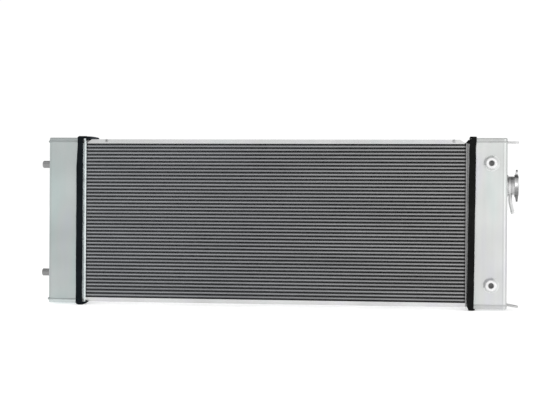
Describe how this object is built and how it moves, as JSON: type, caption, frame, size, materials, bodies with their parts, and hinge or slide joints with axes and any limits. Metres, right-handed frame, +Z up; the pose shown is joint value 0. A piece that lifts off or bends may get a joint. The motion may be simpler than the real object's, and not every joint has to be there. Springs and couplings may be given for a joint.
{
  "type": "hydraulic oil cooler",
  "caption": "Long brazed aluminium bar-and-plate cooler with welded end tanks, foam seals, mounting ears, locating pins, filler neck and pressure cap.",
  "frame": {"origin": "on the surface the cooler lies on, under the middle of its outline", "axes": "+X along the core from the tank with the locating pins to the tank with the filler neck, +Y from the front to the rear with the hose ports, +Z up as it lies on its long side"},
  "size_m": [1.0382, 0.151, 0.366],
  "materials": {
    "core": "brazed, matt",
    "fins": "brazed, dull",
    "left_tank": "brushed sheet, satin",
    "right_tank": "brushed sheet, satin",
    "fittings": "machined",
    "foam": "closed-cell foam, matt black",
    "cap_steel": "bright plated",
    "spring_steel": "plated",
    "seal_rubber": "moulded"
  },
  "bodies": {
    "cooler": {"core_top_plate": "core", "core_bottom_plate": "core", "parting_sheets": "core", "front_channel_bars": "core", "rear_channel_bars": "core", "left_air_end_bars": "core", "right_air_end_bars": "core", "air_fins": "fins", "turbulators": "fins", "left_tank_body": "left_tank", "left_tank_top_cap": "left_tank", "left_tank_bottom_cap": "left_tank", "right_tank_body": "right_tank", "right_tank_top_cap": "right_tank", "right_tank_bottom_cap": "right_tank", "upper_locating_pin": "fittings", "lower_locating_pin": "fittings", "upper_mount_boss": "fittings", "lower_mount_boss": "fittings", "upper_mount_ear": "fittings", "lower_mount_ear": "fittings", "inlet_port": "fittings", "outlet_port": "fittings", "drain_boss": "fittings", "filler_neck": "fittings", "overflow_pipe": "fittings", "left_front_foam": "foam", "left_rear_foam": "foam", "left_top_foam": "foam", "left_bottom_foam": "foam", "right_front_foam": "foam", "right_rear_foam": "foam", "right_top_foam": "foam", "right_bottom_foam": "foam", "side_plate_rivets": "spring_steel", "drain_plug": "spring_steel", "drain_washer": "seal_rubber"},
    "cap_inside": {"cap_rivet": "spring_steel", "cap_diaphragm": "spring_steel", "cap_gasket": "seal_rubber", "valve_cage": "spring_steel", "pressure_spring": "spring_steel"},
    "cap_shell": {"cap_shell": "cap_steel"},
    "pressure_valve": {"pressure_valve_plate": "spring_steel", "pressure_seal": "seal_rubber", "vacuum_spring": "spring_steel"},
    "vacuum_valve": {"vacuum_valve": "spring_steel"}
  },
  "joints": [
    {"name": "cap_lift", "type": "slide", "parent": "cooler", "child": "cap_inside", "axis": [1, 0, 0], "range_m": [0, 0.042]},
    {"name": "cap_turn", "type": "hinge", "parent": "cap_inside", "child": "cap_shell", "pos_m": [0.4955, -0.0165, 0.263], "axis": [1, 0, 0], "range_deg": [0, 90]},
    {"name": "pressure_valve_lift", "type": "slide", "parent": "cap_inside", "child": "pressure_valve", "axis": [1, 0, 0], "range_m": [0, 0.0015], "stiffness_N_per_m": 8000, "springref_m": -0.0015, "deforming": ["pressure_spring"]},
    {"name": "vacuum_valve_drop", "type": "slide", "parent": "pressure_valve", "child": "vacuum_valve", "axis": [-1, 0, 0], "range_m": [0, 0.0015], "stiffness_N_per_m": 300, "springref_m": -0.001, "deforming": ["vacuum_spring"]}
  ]
}
